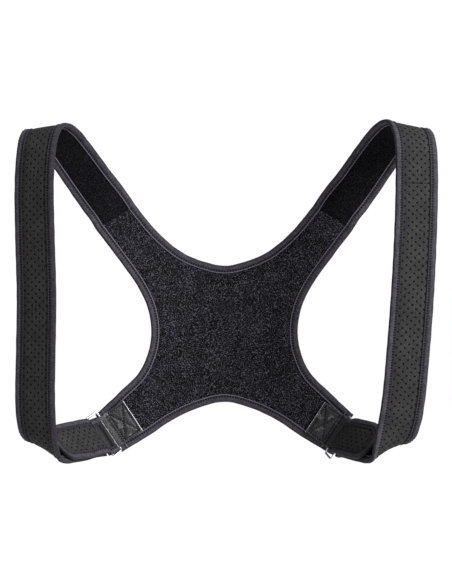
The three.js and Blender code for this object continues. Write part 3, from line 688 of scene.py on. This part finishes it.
def leatherette():
    """Soft creased leatherette: pebbled grain, pale creases, pale patches that are painted glints,
    a painted highlight along the line of the fold, and a pale worn cut edge."""
    p = Paint("leatherette", Specular_IOR_Level=0.16)
    at = p.place()
    grain = p.cells(at, 900.0)
    crease = 1 - abs(p.noise(at, 60.0, 3.0, 0.6) - 0.5).step(0.0, 0.03)
    soft = p.noise(at, 130.0, 3.0, 0.6)
    run, _, rim = p.parts(p.cloth())
    cloth = p.mix(soft.step(0.3, 0.75), tone(2, 2, 3), tone(12, 12, 15))
    # painted glints: pale patches where the soft noise is high
    painted_glints = p.mix(soft.step(0.56, 0.74) * 0.22, cloth, tone(120, 119, 126))
    # pale creases, laid over the colour that holds the painted glints
    worn = p.mix(crease * 0.2, painted_glints, tone(46, 45, 50))
    # noise that varies both the cut edge's wear and the painted fold highlight
    wear_and_highlight_noise = p.noise(at, 500.0, 3.0, 0.7).step(0.3, 0.6)
    # painted highlight: a pale line along the fold
    painted_fold_highlight = (1 - abs(run - 1.9).step(0.3, 1.1)) * (wear_and_highlight_noise * 0.35 + 0.6)
    cut_edge = (1 - rim.step(0.15, 0.4)) * (wear_and_highlight_noise * 0.25 + 0.5)
    # pale both on the worn cut edge and on the painted fold highlight
    p.feed("Base Color", p.mix(cut_edge.highest(painted_fold_highlight), worn, tone(205, 205, 210)))
    p.feed("Roughness", soft * 0.2 + grain * 0.2 + 0.26)
    p.relief(soft + crease * 0.3 - grain * 0.6, 0.0006)
    return p.material


def nickel():
    """Bright plated wire with faint drawing marks."""
    p = Paint("nickel", Metallic=1.0)
    at = p.place()
    marks = p.noise(at, 600.0, 3.0, 0.6)
    bright = marks.step(0.3, 0.8)
    p.feed("Base Color", p.mix(bright, tone(150, 150, 155), tone(192, 192, 197)))
    p.feed("Roughness", marks * 0.2 + 0.14)
    p.relief(marks, 0.00004)
    return p.material


def thread():
    """Twisted dark thread."""
    p = Paint("thread", Roughness=0.7, Specular_IOR_Level=0.05)
    fuzz = p.noise(p.place(), 2400.0, 2.0)
    p.feed("Base Color", p.mix(fuzz.step(0.3, 0.7), tone(1, 1, 2), tone(8, 8, 10)))
    p.relief(fuzz, 0.0001)
    return p.material


PLUSH = plush("plush", (2, 2, 3), (62, 61, 68))
# the strap's plush is darker than the panel's: partly a different nap, partly painted shade of the
# arms' insides
STRAP_PLUSH = plush("strap_plush", (1, 1, 2), (25, 24, 30))
HOLED, TAPE, LEATHER = perforated(), tape_cloth(), leatherette()
NICKEL, THREAD_PAINT = nickel(), thread()


# ---- the back panel
TOP = np.array([0.0, HALF_HEIGHT - EDGE_WIDTH])
FOOT = -TOP


def outline_points(curve):
    """A table's shares as flat points on the left half of the panel."""
    return list(np.array(curve) * [-HALF_WAIST, HALF_HEIGHT])


NECK = [UPPER["body"]] + outline_points(NECK_CURVE[::-1]) + [TOP]
BOTTOM = [FOOT] + outline_points(BOTTOM_CURVE[::-1]) + [LOWER["body"]]
SIDE = [UPPER["hole"]] + outline_points(SIDE_CURVE) + [LOWER["hole"]]
neck_edge = edge_curve(NECK + [mirror(p) for p in NECK[-2::-1]])
bottom_edge = edge_curve([mirror(p) for p in BOTTOM[:0:-1]] + BOTTOM)
side_edge = edge_curve(SIDE)
end_edge = np.linspace(LOWER["hole"], LOWER["body"], 100)


def edge_distance(points, edges):
    """Distance of flat points to the nearest of some polylines, as the nearest of their points."""
    near = np.full(points.shape[:-1], 1e9)
    for edge in edges:
        gaps = np.linalg.norm(points[..., None, :] - edge[::3], axis=-1)
        near = np.minimum(near, gaps.min(axis=-1))
    return near


def pad_half(distance):
    """Half thickness: pressed under the tape, then swelling to full."""
    return PRESSED + (FULL - PRESSED) * ease(distance, TAPE_DEPTH - 0.5, TAPE_DEPTH + 5.5)


NECK_ROWS, CENTRE_ROWS, BOTTOM_ROWS, PANEL_COLUMNS = 72, 42, 72, 55
NECK_SHARE, BOTTOM_SHARE = 0.46, 0.66     # armhole edge that faces the neck, and the bottom


def along_edge(edge, low, high, rows):
    """Points of an edge at even steps between two shares of its length."""
    return resample(edge, np.linspace(low, high, rows + 1) * run_length(edge)[-1])


def panel_grid():
    """Left half of the panel: straight rulings from the armhole edge to the neck, the centre
    line and the bottom in turn."""
    inner = np.vstack([along_edge(neck_edge, 0, 0.5, NECK_ROWS),
                       np.linspace(TOP, FOOT, CENTRE_ROWS + 1)[1:-1],
                       along_edge(bottom_edge, 0.5, 1, BOTTOM_ROWS)])
    shares = np.concatenate([np.linspace(0, NECK_SHARE, NECK_ROWS + 1),
                             np.linspace(NECK_SHARE, BOTTOM_SHARE, CENTRE_ROWS + 1)[1:-1],
                             np.linspace(BOTTOM_SHARE, 1, BOTTOM_ROWS + 1)])
    start = resample(side_edge, shares * run_length(side_edge)[-1])
    across = np.linspace(0, 1, PANEL_COLUMNS)[None, :, None]
    return start[:, None] * (1 - across) + inner[:, None] * across


def panel_piece():
    """The padded panel: both halves of the grid on the rounded back, raised to each face by the
    pad's half thickness and a soft swell, and closed along its edges. It is pressed where the
    straps are sewn on."""
    left = panel_grid()
    rows, cols = left.shape[:2]
    flat = np.concatenate([left.reshape(-1, 2), mirror(left.reshape(-1, 2))])
    bound = [neck_edge, bottom_edge, side_edge, mirror(side_edge), end_edge, mirror(end_edge)]
    half = pad_half(edge_distance(flat, bound))
    seam_gap = np.abs((flat[:, 1] - UPPER_ARM[1]) * UPPER["outward"][1]
                      - (np.abs(flat[:, 0]) - UPPER_ARM[0]) * UPPER["outward"][0])
    half -= (half - PRESSED) * 0.6 * (1 - ease(seam_gap, 0.0, 3.5))
    free = ease(half, PRESSED, FULL)
    inner = panel_place(flat, half + free * PANEL_SWELL * wander(flat, 38.0, 11))
    outer = panel_place(flat, -(half + free * PANEL_BACK_SWELL * wander(flat, 50.0, 12)))
    size = len(flat)
    index = np.arange(size // 2).reshape(rows, cols)
    on_line = np.abs(left[..., 0]) < 1e-6
    twin = np.where(on_line, index, index + size // 2)
    faces, picks = [], []
    for grid, flip in ((index, False), (twin, True)):
        front, back = quads(grid, flip), quads(grid, not flip) + size
        faces += [front, back]
        picks += [np.zeros(len(front)), np.ones(len(back))]
        foot = NECK_ROWS + CENTRE_ROWS - 1
        for line in (grid[:, 0], grid[NECK_ROWS::-1, -1], grid[:foot:-1, -1],
                     grid[0, ::-1], grid[-1, :]):
            strip = np.stack([line[:-1], line[:-1] + size, line[1:] + size, line[1:]], axis=1)
            faces.append(strip[:, ::-1] if flip else strip)
            picks.append(np.zeros(len(strip)))
    points = np.vstack([inner, outer])
    pattern = np.stack([flat[:, 1], flat[:, 0], np.ones(size)], axis=1)     # punched all over
    piece = make_piece("panel_pad", points, faces, ["back_panel"], PLUSH, "lining",
                       np.vstack([pattern, pattern]), [HOLED], np.concatenate(picks))


def trimmed(path, start, end):
    """The polyline without a short length at each end."""
    s = run_length(path)
    return resample(path, np.linspace(start, s[-1] - end, len(path)))


panel_piece()
over = LOWER["across"] * 1.1       # an end's tape runs out over its neighbours
end_path = np.linspace(LOWER["hole"] - over, LOWER["body"] + over, 60)

# Each tape: its name, the node that it stands for, its edge, which side the cloth is, its lift
PANEL_TAPES = [
    ("neck_tape", "binding_neck", trimmed(neck_edge, 0.2, 0.2), -1, 0.0),
    ("bottom_tape", "binding_bottom", trimmed(bottom_edge, 1.0, 1.0), -1, 0.0),
    ("side_tape_left", "binding_side_left", trimmed(side_edge, 0.2, 1.0), 1, 0.0),
    ("side_tape_right", "binding_side_right", mirror(trimmed(side_edge, 0.2, 1.0)), -1, 0.0),
    ("end_tape_left", "binding_end_left", end_path, 1, END_LIFT),
    ("end_tape_right", "binding_end_right", mirror(end_path), -1, END_LIFT),
]
panel_threads = []
for number, (name, node, path, inward, lift) in enumerate(PANEL_TAPES):
    tape = Binding(path, inward, panel_place, lift, 20 + number)
    points, faces, pattern = tape.tape()
    make_piece(name, points, faces, [node], TAPE, "binding", pattern)
    panel_threads.append(tape.stitches())
make_piece("panel_stitches", *joined(panel_threads), None, THREAD_PAINT, "binding")


# ---- the straps
def strap_piece(side, route):
    """Padded strap on a grid of length and width: thin at the seam, pressed under its tape and
    swelling to full, dipped at each hole and along the seams that cross it, and softly uneven.
    The other face is plush, on a coarser grid."""
    rows = int(route.total / (HOLE_LONG / HOLE_CELLS) / BACK_RATIO) * BACK_RATIO
    s = np.linspace(-SEAM_IN, route.total, rows + 1)
    middle = np.arange(-SIDE_CELLS, SIDE_CELLS + 1) * HOLE_WIDE / HOLE_CELLS
    w = route.half_width(s)[:, None]
    core = middle[None] * np.minimum(1, (w * 0.8) / middle[-1])
    edge = core[:, -1:] + (w - core[:, -1:]) * np.array([0.33, 0.66, 1.0])
    v = np.hstack([-edge[:, ::-1], core, edge])
    s_grid = np.broadcast_to(s[:, None], v.shape)
    flat = np.stack([s_grid, v], axis=-1)
    half = pad_half(np.minimum(w - np.abs(v), route.total - s_grid))
    half -= (half - SEAM_HALF) * (1 - ease(s_grid, *SEAM_RISE))
    free = ease(half, PRESSED, FULL)
    dip = np.zeros_like(v)
    for shift in (0.0, 0.5):
        a = ((s_grid / HOLE_LONG + shift + 0.5) % 1 - 0.5) * HOLE_LONG
        b = ((v / HOLE_WIDE + shift + 0.5) % 1 - 0.5) * HOLE_WIDE
        dip = np.maximum(dip, 1 - ease(np.hypot(a, b), 0.4, 1.1))
    past_bend = ease(s_grid, route.main - 8, route.main - 6)
    punched = 1 - past_bend * (1 - ease(s_grid, route.line, route.line + 1))
    # painted shade of the slot beside the tab, carried in the cloth's mask
    slot = np.exp(-((s_grid - route.slot) / SLOT_WIDTH) ** 2)
    crossing = SEAM_DIP * np.exp(-((s_grid - route.line) / 0.9) ** 2)
    if side == "right":
        crossing = crossing + CROSS_DIP * np.exp(-((s_grid - CROSS_SEAM) / 0.8) ** 2)
    swell = STRAP_FACE_SWELL * wander(flat, 34.0, 31)
    front = route.place(flat, half + free * (swell - HOLE_DIP * dip * punched - crossing))
    swell = STRAP_SWELL * wander(flat, 30.0, 41 if side == "left" else 43)
    coarse = (slice(None, None, BACK_RATIO), slice(None, None, BACK_RATIO))
    back = route.place(flat[coarse], -(half + free * swell)[coarse])
    points, faces = padded_solid(front, back, BACK_RATIO)
    picks = [np.ones(len(faces[0]))] + [np.zeros(len(f)) for f in faces[1:]]
    pattern = np.stack([s_grid, v, punched - slot], axis=-1)
    pattern = np.vstack([pattern.reshape(-1, 3), pattern[coarse].reshape(-1, 3)])
    piece = make_piece(f"strap_pad_{side}", points, faces, [f"shoulder_strap_{side}"],
                       STRAP_PLUSH, "strap", pattern, [HOLED], np.concatenate(picks))


def strap_outline(route):
    """The strap's flat edge: out along one side, round the tail's corners, and back."""
    square = route.total - TAIL_CORNER
    corner = square + TAIL_CORNER * np.sin(np.linspace(0, math.pi / 2, 30))
    s = np.concatenate([np.arange(-TAPE_IN, square, 1.0), corner])
    one = np.stack([s, route.half_width(s)], axis=1)
    return np.vstack([one, (one * [1, -1])[::-1]])


def cross_stitches(route, s_line):
    """Stitches straight across a strap, on its outer face."""
    v = np.arange(-(STRAP_WIDTH / 2 - 8.5), STRAP_WIDTH / 2 - 8, STITCH_PITCH)
    return thread_pieces(lambda t, across, up: route.place(
        np.stack([s_line + across, v[:, None, None] + t], axis=-1), FULL - 0.3 + up), len(v))


for number, side in enumerate(("left", "right")):
    route = Route(side)
    strap_piece(side, route)
    tape = Binding(strap_outline(route), -1, route.place, STRAP_LIFT, 60 + number, -1)
    tape.bend = route.bend(tape.path[:, 0])
    points, faces, pattern = tape.tape()
    make_piece(f"strap_tape_{side}", points, faces, [f"binding_strap_{side}"], TAPE, "binding",
               pattern)
    sets = [tape.stitches()]
    for s_line in [route.line] + [CROSS_SEAM] * (side == "right"):
        sets.append(cross_stitches(route, s_line))
    make_piece(f"strap_stitches_{side}", *joined(sets), None, THREAD_PAINT, "binding")


# ---- rings and tabs
def ring_piece(side):
    """Round wire: a circle carried along a rectangle with rounded corners."""
    ring = ring_frame(side)
    half_long = (STRAP_WIDTH + 2 * RING_SLACK + WIRE) / 2 + RING_EXTRA[side]
    square = np.array([RING_MID / 2, half_long]) - RING_CORNER
    turn = np.linspace(0, math.pi / 2, 14)
    corners = []
    for quarter, way in enumerate(((1, 1), (-1, 1), (-1, -1), (1, -1))):
        angle = turn + quarter * math.pi / 2
        arc = np.stack([np.cos(angle), np.sin(angle)], axis=1) * RING_CORNER
        corners.append(square * way + arc)
    path = np.vstack([np.vstack([c, np.linspace(c[-1], after[0], 14)[1:-1]])
                      for c, after in zip(corners, corners[1:] + corners[:1])])
    along = unit(np.roll(path, -1, axis=0) - np.roll(path, 1, axis=0))
    out = np.stack([along[:, 1], -along[:, 0]], axis=1)
    angle = np.linspace(0, 2 * math.pi, 21)[:-1]
    flat = path[:, None] + out[:, None] * (np.cos(angle) * WIRE / 2)[None, :, None]
    up = np.broadcast_to(np.sin(angle) * WIRE / 2, flat.shape[:2])
    centre = (ring["tab_bar"] + ring["strap_bar"]) / 2 + ring["width"] * RING_DROP[side]
    points = (centre + flat[..., :1] * ring["reach"] + flat[..., 1:] * ring["width"]
              + up[..., None] * np.cross(ring["reach"], ring["width"])).reshape(-1, 3)
    index = np.arange(len(points)).reshape(flat.shape[:2])
    index = np.vstack([np.hstack([index, index[:, :1]]), np.hstack([index[:1], index[:1, :1]])])
    make_piece(f"ring_wire_{side}", points, [quads(index)], [f"ring_{side}"], NICKEL, "nickel")


BOX_ENDS, BOX_HALF = (-28.3, -9.2), 17.2     # stitched box of a tab, along and half across
CROSS_LINE, CROSS_HALF = -6.6, TAB_WIDTH / 2 - 2.0      # stitched line beside the ring
TAB_ROWS, TAB_COLUMNS = 132, 64
TOP_ROWS = (66, 74)             # rows between which the band comes round to the upper layer
QUILT, QUILT_PRESS = 0.6, 0.35          # puff between the stitches, and dip along them


def seam_lines():
    """Ends of the tab's stitch lines: the box, its two diagonals and the line by the ring."""
    (x0, x1), z = BOX_ENDS, BOX_HALF
    corners = [(x0, -z), (x1, -z), (x1, z), (x0, z)]
    lines = list(zip(corners, corners[1:] + corners[:1]))
    lines += [(corners[0], corners[2]), (corners[1], corners[3]),
              ((CROSS_LINE, -CROSS_HALF), (CROSS_LINE, CROSS_HALF))]
    return [(np.array(a), np.array(b)) for a, b in lines]


def line_distance(p, lines):
    """Distance of points to the nearest of some line segments, each point dropped square on
    the segment or else on its nearer end."""
    near = np.full(p.shape[:-1], 1e9)
    for a, b in lines:
        t = np.clip(((p - a) @ (b - a)) / ((b - a) @ (b - a)), 0, 1)
        near = np.minimum(near, np.linalg.norm(p - (a + t[..., None] * (b - a)), axis=-1))
    return near


def tab_piece(side):
    """Leatherette folded round the ring: a band along a middle line that goes out under the
    ring, round its bar and back on top. The top layer puffs with its distance from the
    stitches and is softly creased. Its stitches lie on it."""
    ring = ring_frame(side)
    _, along, width, inward = arm_frame(side)
    third = np.cross(along, inward)
    inside = WIRE / 2 + GAP
    mid = inside + LEAF / 2
    upper = -inside - LEAF + 1.5 * LEAF + GAP
    turn = np.linspace(-math.pi / 2, 0.86 * math.pi, 40)
    loop = np.stack([mid * np.cos(turn), mid * np.sin(turn)], axis=1)
    settle = np.array([(-4.6, 0.25), (-6.2, upper + 0.1), (-8.5, upper)])
    line = np.vstack([[(-TAB_LENGTH, -mid), (0.0, -mid)], loop[1:], settle,
                      [(-TAB_LENGTH, upper)]])
    s = run_length(line)
    middle = blur(resample(line, np.linspace(0, s[-1], TAB_ROWS)), 1.2)
    tangent = unit(np.gradient(middle, axis=0))
    normal = np.stack([tangent[:, 1], -tangent[:, 0]], axis=1)
    z = np.linspace(-TAB_WIDTH / 2, TAB_WIDTH / 2, TAB_COLUMNS)
    x = np.broadcast_to(middle[:, :1], (TAB_ROWS, TAB_COLUMNS))
    flat = np.stack([x, np.broadcast_to(z, x.shape)], axis=-1)
    on_top = ease(np.arange(TAB_ROWS), *TOP_ROWS)[:, None]
    lines = seam_lines()
    near = line_distance(flat, lines)
    seed = 71 if side == "left" else 73
    puff = QUILT * ease(near, 0.2, 3.6) - QUILT_PRESS * (1 - ease(near, 0.1, 1.2))
    crease = 0.16 * wander(flat, 12.0, seed) + 0.05 * wander(flat, 5.0, seed + 1)
    from_side = TAB_WIDTH / 2 - np.abs(flat[..., 1])
    thin_edge = ease(np.minimum(from_side, x + TAB_LENGTH), 0.0, 1.2)
    skin = LEAF / 2 + (puff + crease) * on_top * thin_edge
    sway = 0.35 * wander(flat[..., :1], 14.0, seed + 2)
    zz = flat[..., 1] + sway * flat[..., 1] / (TAB_WIDTH / 2)

    def carry(offset):
        """The band's points, offset from its middle line along its normal."""
        local = middle[:, None] + normal[:, None] * offset[..., None]
        return (ring["fold"] + local[..., :1] * along + local[..., 1:] * inward
                + zz[..., None] * third)

    outer, inner = carry(skin), carry(np.full_like(skin, -LEAF / 2))
    points, faces = padded_solid(outer, inner, 1)
    tip = s[1 + np.argmax(loop[:, 0])]
    run = np.broadcast_to((np.linspace(0, s[-1], TAB_ROWS) - tip)[:, None], x.shape)
    rims = np.minimum(from_side + 0.5, s[-1] - tip - run)
    pattern = np.stack([run, flat[..., 1], rims], axis=-1).reshape(-1, 3)
    unworn = pattern + [0, 0, 5]        # the inner face has no cut edge that shows
    piece = make_piece(f"tab_band_{side}", points, faces, [f"tab_{side}"], LEATHER,
                       "leatherette", np.vstack([pattern, unworn]))
    sets = []
    for a, b in lines:
        length = np.linalg.norm(b - a)
        way, beside = (b - a) / length, np.array([-(b - a)[1], (b - a)[0]]) / length
        spots = a + way * np.arange(1.4, length - 0.8, STITCH_PITCH)[:, None]

        def put(t, across, up):
            """A thread's point on the upper layer."""
            p = spots[:, None, None] + way * t[..., None] + beside * across[..., None]
            height = upper + LEAF / 2 - 0.12 + up
            return (ring["fold"] + p[..., :1] * along + p[..., 1:] * third
                    + height[..., None] * inward)

        sets.append(thread_pieces(put, len(spots)))
    make_piece(f"tab_stitches_{side}", *joined(sets), None, THREAD_PAINT, "leatherette")


for side in ("left", "right"):
    ring_piece(side)
    tab_piece(side)


# ---- floor and light
def stage_floor():
    """A pale square floor far below the object."""
    half, drop = 400.0, -1.0        # metres
    corners = [(-half, -half, drop), (half, -half, drop), (half, half, drop), (-half, half, drop)]
    mesh = bpy.data.meshes.new("floor")
    mesh.from_pydata(corners, [], [(0, 1, 2, 3)])
    paper = Paint("floor_paper", Roughness=1.0, Base_Color=(0.97, 0.97, 0.97, 1),
                  Specular_IOR_Level=0.0)
    mesh.materials.append(paper.material)
    floor = bpy.data.objects.new("floor", mesh)
    bpy.context.scene.collection.objects.link(floor)


def lamp(name, place, target, size, power):
    """A square soft light, turned to look at its target."""
    light = bpy.data.lights.new(name, "AREA")
    light.size, light.energy = size, power
    lamp_object = bpy.data.objects.new(name, light)
    lamp_object.location = place
    way = np.array(target) - np.array(place)
    lamp_object.rotation_euler = (math.atan2(math.hypot(way[0], way[1]), -way[2]), 0,
                                  math.atan2(way[1], way[0]) - math.pi / 2)
    bpy.context.scene.collection.objects.link(lamp_object)


stage_floor()
lamp("key", (2.15, -1.55, 1.5), (0, 0, 0.05), 1.0, 400)
lamp("fill", (-1.4, -2.2, 0.6), (0, 0, 0.0), 1.6, 8)
world = bpy.data.worlds.new("studio")
world.use_nodes = True
background = world.node_tree.nodes["Background"]
background.inputs["Color"].default_value = (1, 1, 1, 1)
background.inputs["Strength"].default_value = 1.03
bpy.context.scene.world = world
bpy.context.scene.view_settings.view_transform = "Standard"
